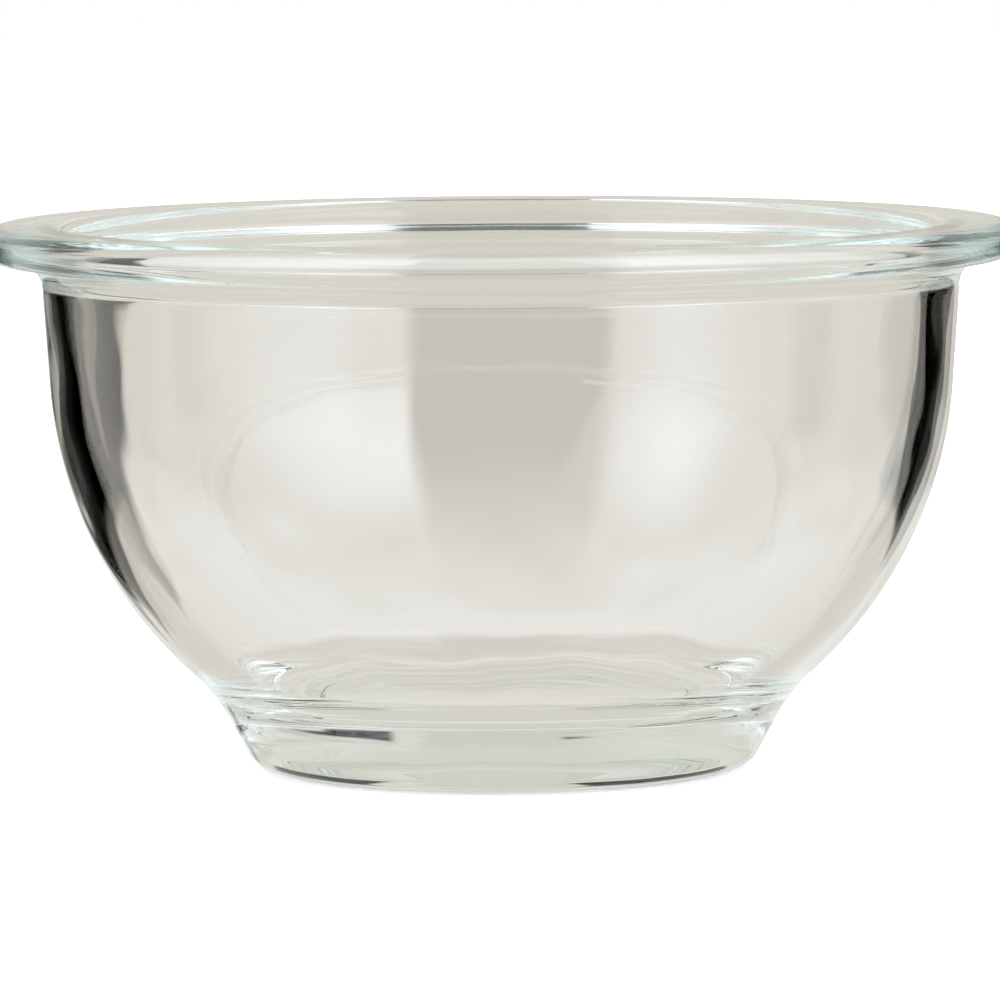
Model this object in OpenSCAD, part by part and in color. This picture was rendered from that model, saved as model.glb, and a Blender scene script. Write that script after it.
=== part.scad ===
// Pressed glass mixing bowl with a wide flat rim and a solid foot, pressed in one piece.
// Units are millimetres. The bowl stands on z = 0 and its axis is the Z axis.
// The glass is one turned solid, so its whole shape is one outline taken round the axis.
// In the outline x is the distance from the axis and y is the height above the table.

/* [Rim] */
// Outer diameter of the rim
rim_d = 170; // [168:0.5:176]
// Height of the bowl, from the table to the top of the rim
height = 90; // [87:0.5:94]
// Thickness of the rim, whose edge is fully rounded
rim_t = 6; // [5.4:0.1:6.8]
// Radius where the rim's top turns down into the bowl
lip_r = 3; // [2:0.1:3.6]
// Radius of the fillet between the rim's underside and the wall
under_r = 4.6; // [3.6:0.1:5]

/* [Wall] */
// Outer diameter of the wall where it meets the rim
wall_d = 151.4; // [149:0.2:153]
// Lean of the upper wall from the vertical, in degrees
wall_lean = 3.8; // [3:0.1:5]
// Thickness of the wall
wall_t = 4.8; // [4:0.1:5.6]
// Radius of the round outside of the lower bowl
bowl_r = 70.8; // [69.4:0.2:72]
// Height of the centre of that round
bowl_z = 68.4; // [67:0.2:69.8]

/* [Inside] */
// Height of the inside floor, which is the thickness of glass over the table
floor_z = 13.4; // [11:0.2:15]
// Radius of the turn from the inside floor into the round of the bowl
floor_r = 20; // [14:0.5:24]

/* [Foot] */
// Diameter of the flat ring that the bowl rests on, at its outer edge
rest_d = 76.4; // [74:0.2:79]
// Width of that ring
rest_w = 5; // [3:0.5:8]
// Radius of the heel, from the ring to the side of the foot
heel_r = 4.6; // [3.4:0.2:5.4]
// Slope of the foot's side from the level, in degrees
foot_slope = 62.5; // [59:0.5:66]
// Radius of the hollow between the foot's side and the round of the bowl
neck_r = 29; // [24:0.5:33]
// Depth of the hollow under the foot, at the axis
recess_h = 2.6; // [2:0.1:3.6]
// Height of the step from the resting ring into that hollow
step_h = 1.4; // [0.8:0.1:1.8]
// Width of the step
step_w = 1.2; // [0.6:0.1:2]

/* [Hidden] */
$fn = 180;
// Neighbouring curves overlap by this much, so that they cross cleanly where they would only touch
overlap = 0.001;
// Angle by which each round sector runs on past both of its ends
run_on = 3;

rim_r = rim_d / 2;
under_z = height - rim_t;
edge_r = rim_t / 2;
edge_c = [rim_r - edge_r, height - edge_r];

// Upper wall: a straight line through wall_p, with its outward normal
wall_p = [wall_d / 2, under_z];
wall_n = [cos(wall_lean), -sin(wall_lean)];

// Round of the lower bowl: its centre, from its height and the wall that it is tangent to
bowl_c = [wall_at(bowl_z, -bowl_r), bowl_z];
bowl_top = bowl_c + bowl_r * wall_n;

// Foot: heel, sloping side, and the neck that blends the side into the round of the bowl
heel_c = [rest_d / 2, heel_r];
side_n = [sin(foot_slope), -cos(foot_slope)];
side_u = [cos(foot_slope), sin(foot_slope)];
side_low = heel_c + heel_r * side_n;
neck_0 = heel_c + (heel_r + neck_r) * side_n - bowl_c;
neck_climb = -neck_0 * side_u - sqrt(pow(neck_0 * side_u, 2) - neck_0 * neck_0 + pow(bowl_r + neck_r, 2));
neck_c = bowl_c + neck_0 + neck_climb * side_u;
side_top = neck_c - neck_r * side_n;
neck_top = bowl_c + bowl_r * unit(neck_c - bowl_c);

// Fillet under the rim and round of the lip, each tangent to its side of the wall
under_c = [wall_at(under_z - under_r, under_r), under_z - under_r];
lip_c = [wall_at(height - lip_r, lip_r - wall_t), height - lip_r];

// Inside: a round about the same centre as the outside, and a turn into the flat floor
hollow_r = bowl_r - wall_t;
turn_z = floor_z + floor_r;
turn_c = [bowl_c.x + sqrt(pow(hollow_r - floor_r, 2) - pow(bowl_c.y - turn_z, 2)), turn_z];
turn_end = angle_of(turn_c - bowl_c);
turn_top = ray(bowl_c, hollow_r, turn_end);
hollow_top = bowl_c + hollow_r * wall_n;

// Hollow under the foot: a sloping step up from the ring's inner edge, then part of a large ball
recess_r = rest_d / 2 - rest_w;
dome_h = recess_h - step_h;
dome_r = (pow(recess_r - step_w, 2) + pow(dome_h, 2)) / (2 * dome_h);

// Distance from the axis, at height y, of a line parallel to the wall and off outside its surface
function wall_at(y, off) = wall_p.x + (off + (y - wall_p.y) * sin(wall_lean)) / cos(wall_lean);
// Distance from the axis, at height y, of the step under the foot
function step_at(y) = recess_r - step_w * y / step_h;
function unit(v) = v / norm(v);
function angle_of(v) = atan2(v.y, v.x);
function ray(c, r, a) = c + r * [cos(a), sin(a)];

// Sector of a circle between two angles, run on a little past both
module sector(c, r, a0, a1) {
    reach = r / cos((a1 - a0) / 2 + run_on) + 1;
    intersection() {
        translate(c)
            circle(r + overlap);
        polygon([c, ray(c, reach, a0 - run_on), ray(c, reach, a1 + run_on)]);
    }
}

// Outline of the outside, with the neck and the fillet under the rim cut in
module outside() {
    difference() {
        union() {
            polygon([
                [0, 0],
                [heel_c.x, 0],
                side_low,
                side_top,
                neck_top,
                bowl_top,
                under_c - under_r * wall_n,
                [under_c.x, under_z],
                [edge_c.x, under_z],
                [edge_c.x, height],
                [0, height]
            ]);
            sector(heel_c, heel_r, -90, foot_slope - 90);
            sector(bowl_c, bowl_r, angle_of(neck_top - bowl_c), -wall_lean);
            translate(edge_c)
                circle(edge_r + overlap);
        }
        sector(neck_c, neck_r, angle_of(bowl_c - neck_c), foot_slope + 90);
        sector(under_c, under_r, 90, 180 - wall_lean);
    }
}

// Outline of the hollow that holds the food, open at the top
module hollow() {
    difference() {
        union() {
            polygon([
                [0, floor_z],
                [turn_c.x, floor_z],
                turn_top,
                hollow_top,
                lip_c - lip_r * wall_n,
                [lip_c.x, height],
                [lip_c.x, height + 1],
                [0, height + 1]
            ]);
            sector(turn_c, floor_r + overlap, -90, turn_end);
            sector(bowl_c, hollow_r, turn_end + run_on, -wall_lean);
        }
        sector(lip_c, lip_r, 90, 180 - wall_lean);
        translate([0, floor_z - 1])
            square([rim_r, 1]);
    }
}

// Outline of the hollow under the foot, open at the bottom
module recess() {
    top = recess_h + 1;
    intersection() {
        translate([0, recess_h - dome_r])
            circle(dome_r);
        polygon([
            [0, -1],
            [step_at(-1), -1],
            [step_at(top), top],
            [0, top]
        ]);
    }
}

module bowl() {
    color([0.86, 0.92, 0.89, 0.45])
        rotate_extrude()
            difference() {
                intersection() {
                    outside();
                    square([rim_r + 1, height]);
                }
                hollow();
                recess();
            }
}

bowl();
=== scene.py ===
import math

import bpy
import numpy as np
from mathutils import Matrix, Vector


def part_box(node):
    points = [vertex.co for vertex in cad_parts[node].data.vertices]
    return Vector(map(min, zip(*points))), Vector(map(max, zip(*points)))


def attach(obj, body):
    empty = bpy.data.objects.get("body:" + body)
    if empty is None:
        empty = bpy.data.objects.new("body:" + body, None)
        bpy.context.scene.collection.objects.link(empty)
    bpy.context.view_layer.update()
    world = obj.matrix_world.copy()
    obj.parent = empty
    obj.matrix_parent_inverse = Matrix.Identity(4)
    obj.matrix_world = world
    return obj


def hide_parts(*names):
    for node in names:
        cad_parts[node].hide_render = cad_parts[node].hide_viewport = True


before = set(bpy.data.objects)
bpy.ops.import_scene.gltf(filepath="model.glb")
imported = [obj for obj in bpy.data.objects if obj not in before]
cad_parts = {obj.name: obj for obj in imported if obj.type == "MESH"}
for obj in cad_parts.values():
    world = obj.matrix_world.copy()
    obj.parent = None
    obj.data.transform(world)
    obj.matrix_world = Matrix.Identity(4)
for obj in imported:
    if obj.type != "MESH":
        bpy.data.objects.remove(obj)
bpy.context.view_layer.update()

# A clear pressed-glass mixing bowl: one turned outline, with the faint unevenness that pressing
# leaves. The scene is in metres. The bowl stands on z = 0, its axis is the Z axis, and the camera
# looks along +Y and a little down.

MM = 0.001
LOW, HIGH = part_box("bowl")

# ---- The outline, from the same dimensions as the CAD model, in millimetres ----

RIM_R = HIGH[0] / MM
HEIGHT = HIGH[2] / MM
RIM_T = 6.0
LIP_R = 3.0
UNDER_R = 4.6
WALL_R = 75.7
WALL_LEAN = 3.8
WALL_T = 4.8
BOWL_R = 70.8
BOWL_Z = 68.4
FLOOR_Z = 13.4
FLOOR_R = 20.0
REST_R = 38.2
REST_W = 5.0
HEEL_R = 4.6
FOOT_SLOPE = 62.5
NECK_R = 29.0
RECESS_H = 2.6
STEP_H = 1.4
STEP_W = 1.2

# How far apart the outline's points are on each part: degrees on an arc, millimetres on a line
STEPS = {
    "dome": 0.4, "step": 0.3, "rest": 0.5, "heel": 6, "side": 1, "neck": 1.6, "round_out": 1.4,
    "wall_out": 1.5, "fillet": 9, "rim_under": 1, "edge": 9, "rim_top": 1, "lip": 9,
    "wall_in": 1.5, "round_in": 1.4, "turn": 3, "floor": 1.5,
}
LEAST_STEPS = 3
# Points closer than this are one point
SAME_POINT = 1e-3
# Number of times that the outline stands round the axis
SEGMENTS = 416

# ---- The unevenness that pressing leaves: waves of many lengths, pressed into the glass ----

# Slope of the waves on each part of the outline, in degrees
UNEVEN = {
    "dome": 0.4, "step": 0.3, "rest": 0.5, "heel": 0.7, "side": 0.5, "neck": 0.3,
    "round_out": 0.12, "wall_out": 0.12, "fillet": 0.3, "rim_under": 0.3, "edge": 0.05,
    "rim_top": 0.3, "lip": 0.4, "wall_in": 0.45, "round_in": 0.5, "turn": 0.6, "floor": 0.5,
}
# Number of outline points over which the slope changes from one part to the next
BLEND = 7
# Number of waves, their shortest and longest length, and the seed that places them
WAVES = 60
SHORT_WAVE = 9.0
LONG_WAVE = 34.0
SEED = 7
# Depth of the fine stipple moulded into the resting ring
STIPPLE = 0.05


def wall_at(y, off):
    """Distance from the axis, at height y, of a line along the upper wall and off outside it."""
    lean = math.radians(WALL_LEAN)
    return WALL_R + (off + (y - (HEIGHT - RIM_T)) * math.sin(lean)) / math.cos(lean)


def unit(degrees):
    """The direction at an angle from the outline's x axis."""
    return np.array([math.cos(math.radians(degrees)), math.sin(math.radians(degrees))])


def angle_of(v):
    """The angle of a direction, in degrees from the outline's x axis."""
    return math.degrees(math.atan2(v[1], v[0]))


def arc(centre, radius, start, end, step):
    """Points along an arc, about step degrees apart."""
    count = max(LEAST_STEPS, round(abs(end - start) / step))
    return [centre + radius * unit(a) for a in np.linspace(start, end, count + 1)]


def line(start, end, gap):
    """Points along a line, about gap apart."""
    start, end = np.asarray(start, float), np.asarray(end, float)
    count = max(1, round(np.linalg.norm(end - start) / gap))
    return [start + (end - start) * t for t in np.linspace(0, 1, count + 1)]


def outline():
    """The bowl's half section, from the axis under the foot, round the outside, to the axis on
    the floor, as points and the name of the part that each point belongs to."""
    wall_n = unit(-WALL_LEAN)
    bowl_c = np.array([wall_at(BOWL_Z, -BOWL_R), BOWL_Z])
    side_n = unit(FOOT_SLOPE - 90)
    side_u = unit(FOOT_SLOPE)
    heel_c = np.array([REST_R, HEEL_R])
    to_neck = heel_c + (HEEL_R + NECK_R) * side_n - bowl_c
    along = to_neck @ side_u
    climb = -along - math.sqrt(along**2 - to_neck @ to_neck + (BOWL_R + NECK_R) ** 2)
    neck_c = bowl_c + to_neck + climb * side_u
    neck_end = angle_of(neck_c - bowl_c)
    recess_r = REST_R - REST_W
    dome_edge = np.array([recess_r - STEP_W, STEP_H])
    dome_h = RECESS_H - STEP_H
    dome_r = (dome_edge[0] ** 2 + dome_h**2) / (2 * dome_h)
    dome_c = np.array([0, RECESS_H - dome_r])
    under_z = HEIGHT - RIM_T
    under_c = np.array([wall_at(under_z - UNDER_R, UNDER_R), under_z - UNDER_R])
    edge_c = np.array([RIM_R - RIM_T / 2, HEIGHT - RIM_T / 2])
    lip_c = np.array([wall_at(HEIGHT - LIP_R, LIP_R - WALL_T), HEIGHT - LIP_R])
    hollow_r = BOWL_R - WALL_T
    turn_z = FLOOR_Z + FLOOR_R
    turn_x = bowl_c[0] + math.sqrt((hollow_r - FLOOR_R) ** 2 - (BOWL_Z - turn_z) ** 2)
    turn_c = np.array([turn_x, turn_z])
    turn_end = angle_of(turn_c - bowl_c)

    parts = {
        "dome": arc(dome_c, dome_r, 90, angle_of(dome_edge - dome_c), STEPS["dome"]),
        "step": line(dome_edge, [recess_r, 0], STEPS["step"]),
        "rest": line([recess_r, 0], [REST_R, 0], STEPS["rest"]),
        "heel": arc(heel_c, HEEL_R, -90, FOOT_SLOPE - 90, STEPS["heel"]),
        "side": line(heel_c + HEEL_R * side_n, neck_c - NECK_R * side_n, STEPS["side"]),
        "neck": arc(neck_c, NECK_R, FOOT_SLOPE + 90, neck_end + 180, STEPS["neck"]),
        "round_out": arc(bowl_c, BOWL_R, neck_end, -WALL_LEAN, STEPS["round_out"]),
        "wall_out": line(bowl_c + BOWL_R * wall_n, under_c - UNDER_R * wall_n, STEPS["wall_out"]),
        "fillet": arc(under_c, UNDER_R, 180 - WALL_LEAN, 90, STEPS["fillet"]),
        "rim_under": line([under_c[0], under_z], [edge_c[0], under_z], STEPS["rim_under"]),
        "edge": arc(edge_c, RIM_T / 2, -90, 90, STEPS["edge"]),
        "rim_top": line([edge_c[0], HEIGHT], [lip_c[0], HEIGHT], STEPS["rim_top"]),
        "lip": arc(lip_c, LIP_R, 90, 180 - WALL_LEAN, STEPS["lip"]),
        "wall_in": line(lip_c - LIP_R * wall_n, bowl_c + hollow_r * wall_n, STEPS["wall_in"]),
        "round_in": arc(bowl_c, hollow_r, -WALL_LEAN, turn_end, STEPS["round_in"]),
        "turn": arc(turn_c, FLOOR_R, turn_end, -90, STEPS["turn"]),
        "floor": line([turn_c[0], FLOOR_Z], [0, FLOOR_Z], STEPS["floor"]),
    }
    points, names = [], []
    for name, part in parts.items():
        for p in part:
            if not points or np.linalg.norm(p - points[-1]) > SAME_POINT:
                points.append(p)
                names.append(name)
    return np.array(points), names


def waves(places, rng):
    """Depth at each place below the highest peak of a sum of plane waves of slope about 1."""
    length = SHORT_WAVE * (LONG_WAVE / SHORT_WAVE) ** rng.random(WAVES)
    way = rng.normal(size=(WAVES, 3))
    way *= (2 * np.pi / length / np.linalg.norm(way, axis=1))[:, None]
    start = rng.random(WAVES) * 2 * np.pi
    size = math.sqrt(2 / WAVES) * length / (2 * np.pi)
    height = np.sin(places @ way.T + start) @ size
    return height.max() - height


def turned(points, names):
    """Vertices in metres and faces of the outline taken round the axis, pressed uneven."""
    rng = np.random.default_rng(SEED)
    tangent = np.gradient(points, axis=0)
    tangent /= np.linalg.norm(tangent, axis=1)[:, None]
    inward = np.stack([-tangent[:, 1], tangent[:, 0]], axis=1)
    slope = np.array([math.tan(math.radians(UNEVEN[name])) for name in names])
    slope = np.pad(slope, BLEND // 2, mode="edge")
    slope = np.convolve(slope, np.ones(BLEND) / BLEND, mode="valid")
    stipple = np.array([STIPPLE if name == "rest" else 0.0 for name in names])

    count = len(points)
    turns = np.linspace(0, 2 * np.pi, SEGMENTS, endpoint=False)
    around = np.stack([np.cos(turns), np.sin(turns)], axis=1)

    def rings(radius, height):
        """Places round the axis, from each outline point's distance from it and height."""
        flat = around[:, None, :] * radius[..., None]
        return np.concatenate([flat, np.broadcast_to(height, flat.shape[:2])[..., None]], axis=-1)

    even = rings(np.tile(points[:, 0], (SEGMENTS, 1)), points[:, 1])
    depth = waves(even.reshape(-1, 3), rng).reshape(SEGMENTS, count) * slope
    depth += rng.random((SEGMENTS, count)) * stipple
    verts = rings(points[:, 0] + depth * inward[:, 0], points[:, 1] + depth * inward[:, 1])
    # The first and last points lie on the axis, so each becomes one vertex instead of a ring
    low, high = verts[0, 0], verts[0, -1]
    verts = np.concatenate([verts[:, 1:-1].reshape(-1, 3), [low, high]]) * MM

    count -= 2
    low_pole = SEGMENTS * count
    faces = []
    for s in range(SEGMENTS):
        a, b = s * count, (s + 1) % SEGMENTS * count
        faces += [(a + k, b + k, b + k + 1, a + k + 1) for k in range(count - 1)]
        faces.append((low_pole, b, a))
        faces.append((a + count - 1, b + count - 1, low_pole + 1))
    return verts, faces


def bowl_piece():
    """The bowl, as the one piece that takes the place of the CAD model's."""
    verts, faces = turned(*outline())
    mesh = bpy.data.meshes.new("bowl_glass")
    mesh.from_pydata(verts.tolist(), [], faces)
    mesh.polygons.foreach_set("use_smooth", [True] * len(mesh.polygons))
    mesh.update()
    bowl = bpy.data.objects.new("bowl_glass", mesh)
    bpy.context.scene.collection.objects.link(bowl)
    return bowl


# ---- Materials and light ----


WHITE = (1.0, 1.0, 1.0)
NOISE_DETAIL = 3.0
# Sockets of a Mix node that hold colours
MIX_A, MIX_B, MIX_RESULT = 6, 7, 2


class Nodes:
    """Short calls that add nodes to one node tree."""

    def __init__(self, owner):
        owner.use_nodes = True
        self.tree = owner.node_tree
        self.tree.nodes.clear()

    def add(self, kind, **settings):
        node = self.tree.nodes.new(kind)
        for name, value in settings.items():
            setattr(node, name, value)
        return node

    def put(self, value, socket):
        """Sets a socket to a number or a colour, or links another socket to it."""
        if isinstance(value, bpy.types.NodeSocket):
            self.tree.links.new(value, socket)
        elif isinstance(value, tuple):
            socket.default_value = (*value, 1.0) if socket.type == "RGBA" else value
        else:
            socket.default_value = value

    def math(self, operation, *values):
        node = self.add("ShaderNodeMath", operation=operation)
        for value, socket in zip(values, node.inputs):
            self.put(value, socket)
        return node.outputs[0]

    def ramp(self, value, start, end):
        """0 before start, 1 after end, and a smooth rise between."""
        node = self.add("ShaderNodeMapRange", interpolation_type="SMOOTHSTEP")
        for v, name in ((value, "Value"), (start, "From Min"), (end, "From Max")):
            self.put(v, node.inputs[name])
        return node.outputs[0]

    def band(self, value, start, end, soft_start, soft_end):
        """1 from start to end, fading to 0 over the soft widths outside them."""
        rise = self.ramp(value, start - soft_start, start)
        fall = self.ramp(value, end, end + soft_end)
        return self.math("SUBTRACT", rise, fall)

    def noise(self, place, per_metre):
        node = self.add("ShaderNodeTexNoise")
        self.put(place, node.inputs["Vector"])
        self.put(per_metre, node.inputs["Scale"])
        self.put(NOISE_DETAIL, node.inputs["Detail"])
        return node.outputs["Fac"]

    def scaled(self, colour, factor):
        node = self.add("ShaderNodeVectorMath", operation="SCALE")
        self.put(colour, node.inputs[0])
        self.put(factor, node.inputs["Scale"])
        return node.outputs[0]

    def plus(self, one, other):
        node = self.add("ShaderNodeVectorMath", operation="ADD")
        self.put(one, node.inputs[0])
        self.put(other, node.inputs[1])
        return node.outputs[0]

    def mix(self, factor, low, high):
        node = self.add("ShaderNodeMix", data_type="RGBA")
        self.put(factor, node.inputs[0])
        self.put(low, node.inputs[MIX_A])
        self.put(high, node.inputs[MIX_B])
        return node.outputs[MIX_RESULT]


GLASS_IOR = 1.5
# Roughness of the patches that are a little less polished, their number in a metre, and the
# noise values between which they come in
HAZE = 0.004
HAZE_PER_M = 40.0
HAZE_FROM = 0.45
HAZE_TO = 0.8
# The grain that the mould leaves
GRAIN_STRENGTH = 0.1
GRAIN_DEPTH = 0.00002
GRAIN_PER_M = 260.0
# How strongly the glass takes light in per metre, and the colour that it leaves
GREEN_DEPTH = 1.0
GREEN = (0.35, 0.88, 0.76)


def clear_glass():
    """Soda-lime glass: colourless through a wall, faintly green along a rim or a thick foot."""
    material = bpy.data.materials.new("clear_glass")
    n = Nodes(material)
    out = n.add("ShaderNodeOutputMaterial")
    glass = n.add("ShaderNodeBsdfPrincipled")
    n.put(WHITE, glass.inputs["Base Color"])
    place = n.add("ShaderNodeTexCoord").outputs["Object"]
    hazy = n.ramp(n.noise(place, HAZE_PER_M), HAZE_FROM, HAZE_TO)
    n.put(n.math("MULTIPLY", hazy, HAZE), glass.inputs["Roughness"])
    grain = n.add("ShaderNodeBump")
    n.put(GRAIN_STRENGTH, grain.inputs["Strength"])
    n.put(GRAIN_DEPTH, grain.inputs["Distance"])
    n.put(n.noise(place, GRAIN_PER_M), grain.inputs["Height"])
    n.put(grain.outputs[0], glass.inputs["Normal"])
    n.put(GLASS_IOR, glass.inputs["IOR"])
    n.put(1.0, glass.inputs["Transmission Weight"])
    tint = n.add("ShaderNodeVolumeAbsorption")
    n.put(GREEN, tint.inputs["Color"])
    n.put(GREEN_DEPTH, tint.inputs["Density"])
    n.put(glass.outputs[0], out.inputs["Surface"])
    n.put(tint.outputs[0], out.inputs["Volume"])
    return material


# The studio round the bowl, by direction, in degrees. Azimuth is from the camera's side, positive
# to the right, and elevation from the level. A patch fades to 0 over the soft widths outside its
# left and right sides and its lower and upper ends, and moves sideways by its lean per degree of
# elevation. A lamp adds its power to the walls' light, and a flag keeps its power's share out.
WALLS = (0.662, 0.634, 0.566)
LAMP_WHITE = (0.98, 1.07, 1.24)


def patch(azimuth, sides, elevation, ends, power, lean=0.0):
    return {"azimuth": azimuth, "sides": sides, "elevation": elevation, "ends": ends,
            "power": power, "lean": lean}


# Seen through the glass as well as in it
BACK_LAMPS = [
    # the table behind the bowl, on both sides of straight behind
    patch((162, 200), (8, 1), (-22, -10), (9, 4), 0.16),
    patch((-200, -166), (1, 4), (-22, -10), (9, 4), 0.16),
]
BACK_FLAGS = [
    # black cards, far round on each side, that draw the bowl's dark edges
    patch((-167, -136), (2, 3), (-17, 2), (2, 2), 1.0, lean=-0.4),
    patch((132, 159), (3, 2), (-17, 3), (2, 3), 1.0, lean=0.4),
    # stands of the softboxes
    patch((-89, -82), (5, 4), (-9, -7), (5, 5), 0.5),
    patch((82, 90), (6, 8), (-13, -8), (7, 4), 0.6),
]

# Seen only in reflections, so that the bowl looks as clear from behind as it does from the camera
FRONT_LAMPS = [
    # the bright room on the camera's side
    patch((-92, 92), (14, 14), (-35, 60), (50, 30), 0.3),
    # softboxes to the left and right of the camera
    patch((-51, -50), (41, 28), (21, 26), (11, 36), 0.88),
    patch((31, 42), (9, 44), (16, 35), (9, 22), 1.2),
    # their light on the table
    patch((-46, -24), (43, 24), (-20, -19), (30, 16), 1.05),
    patch((44, 47), (30, 20), (-22, -19), (33, 16), 1.25),
    # fill between the two
    patch((-64, -43), (16, 7), (-12, 15), (12, 15), 0.3),
    patch((46, 95), (10, 35), (-20, 15), (35, 16), 0.26),
]
FRONT_FLAGS = [
    # the unlit room behind the camera, and its side of the table
    patch((-26, 23), (4, 5), (2, 28), (12, 25), 1.0, lean=0.25),
    patch((-22, 24), (3, 7), (-26, 2), (44, 20), 1.0),
]


def studio():
    """Light for the scene: the studio, and plain white for the camera where nothing stands."""
    world = bpy.data.worlds.new("studio")
    bpy.context.scene.world = world
    n = Nodes(world)
    out = n.add("ShaderNodeOutputWorld")
    background = n.add("ShaderNodeBackground")
    place = n.add("ShaderNodeTexCoord")
    parts = n.add("ShaderNodeSeparateXYZ")
    n.put(place.outputs["Generated"], parts.inputs[0])
    x, y, z = parts.outputs
    azimuth = n.math("DEGREES", n.math("ARCTAN2", x, n.math("MULTIPLY", y, -1.0)))
    elevation = n.math("DEGREES", n.math("ARCSINE", z))
    rays = n.add("ShaderNodeLightPath")
    reflected = n.math("GREATER_THAN", rays.outputs["Glossy Depth"], 0.5)

    def power(of):
        """The patch's power inside it, fading to 0 over its soft edges."""
        middle = sum(of["elevation"]) / 2
        above = n.math("SUBTRACT", elevation, middle)
        moved = n.math("SUBTRACT", azimuth, n.math("MULTIPLY", above, of["lean"]))
        across = n.band(moved, *of["azimuth"], *of["sides"])
        inside = n.math("MULTIPLY", across, n.band(elevation, *of["elevation"], *of["ends"]))
        return n.math("MULTIPLY", inside, of["power"])

    def lamps(patches):
        total = 0.0
        for lamp in patches:
            total = n.math("ADD", power(lamp), total)
        return total

    def past_flags(patches):
        kept = 1.0
        for flag in patches:
            kept = n.math("MULTIPLY", n.math("SUBTRACT", 1.0, power(flag)), kept)
        return kept

    def if_reflected(value, otherwise):
        change = n.math("MULTIPLY", n.math("SUBTRACT", value, otherwise), reflected)
        return n.math("ADD", change, otherwise)

    added = n.math("ADD", lamps(BACK_LAMPS), if_reflected(lamps(FRONT_LAMPS), 0.0))
    kept = n.math("MULTIPLY", past_flags(BACK_FLAGS), if_reflected(past_flags(FRONT_FLAGS), 1.0))
    light = n.scaled(n.plus(n.scaled(LAMP_WHITE, added), WALLS), kept)
    n.put(n.mix(rays.outputs["Is Camera Ray"], light, WHITE), background.inputs["Color"])
    n.put(background.outputs[0], out.inputs["Surface"])


FLOOR_SIZE = 8.0
# The floor's colour as a thing that light bounces off, and as the camera sees it
FLOOR_PALE = (0.9, 0.9, 0.9)
FLOOR_SEEN = (2.45, 2.55, 2.85)


def studio_floor():
    """A plain pale floor that is white to the camera. The glass shows the studio instead of it."""
    half = FLOOR_SIZE / 2
    mesh = bpy.data.meshes.new("studio_floor")
    corners = [(-half, -half, 0), (half, -half, 0), (half, half, 0), (-half, half, 0)]
    mesh.from_pydata(corners, [], [(0, 1, 2, 3)])
    floor = bpy.data.objects.new("studio_floor", mesh)
    bpy.context.scene.collection.objects.link(floor)
    floor.visible_transmission = False
    floor.visible_glossy = False
    material = bpy.data.materials.new("pale_floor")
    n = Nodes(material)
    out = n.add("ShaderNodeOutputMaterial")
    matte = n.add("ShaderNodeBsdfDiffuse")
    rays = n.add("ShaderNodeLightPath")
    n.put(n.mix(rays.outputs["Is Camera Ray"], FLOOR_PALE, FLOOR_SEEN), matte.inputs["Color"])
    n.put(matte.outputs[0], out.inputs["Surface"])
    mesh.materials.append(material)


# ---- Camera: a long lens, a little above the rim ----

RIM_D = HIGH[0] - LOW[0]
CAMERA_BACK = 7.2525 * RIM_D
CAMERA_UP = 0.9253 * RIM_D
# Downward tilt, and roll about the line of sight, in radians
CAMERA_PITCH = math.radians(5.2546)
CAMERA_ROLL = -0.0065
# Shift of the lens, as a part of the picture's width
CAMERA_SHIFT = -0.00225
SENSOR_MM = 36.0
LENS_MM = 270.0
CAMERA_REACH = 50.0


def camera():
    data = bpy.data.cameras.new("camera")
    data.sensor_width = SENSOR_MM
    data.lens = LENS_MM
    data.shift_x = CAMERA_SHIFT
    data.clip_end = CAMERA_REACH
    obj = bpy.data.objects.new("camera", data)
    bpy.context.scene.collection.objects.link(obj)
    place = Matrix.Translation((0.0, -CAMERA_BACK, CAMERA_UP))
    tilt = Matrix.Rotation(math.pi / 2 - CAMERA_PITCH, 4, "X")
    obj.matrix_world = place @ tilt @ Matrix.Rotation(CAMERA_ROLL, 4, "Z")
    bpy.context.scene.camera = obj


camera()
bowl = bowl_piece()
bowl.data.materials.append(clear_glass())
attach(bowl, "root")
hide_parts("bowl")
studio()
studio_floor()

scene = bpy.context.scene
scene.view_settings.view_transform = "Standard"
# Light goes round inside the rim many times before it comes out
BOUNCES = 80
scene.cycles.max_bounces = BOUNCES
scene.cycles.transmission_bounces = BOUNCES
scene.cycles.glossy_bounces = BOUNCES
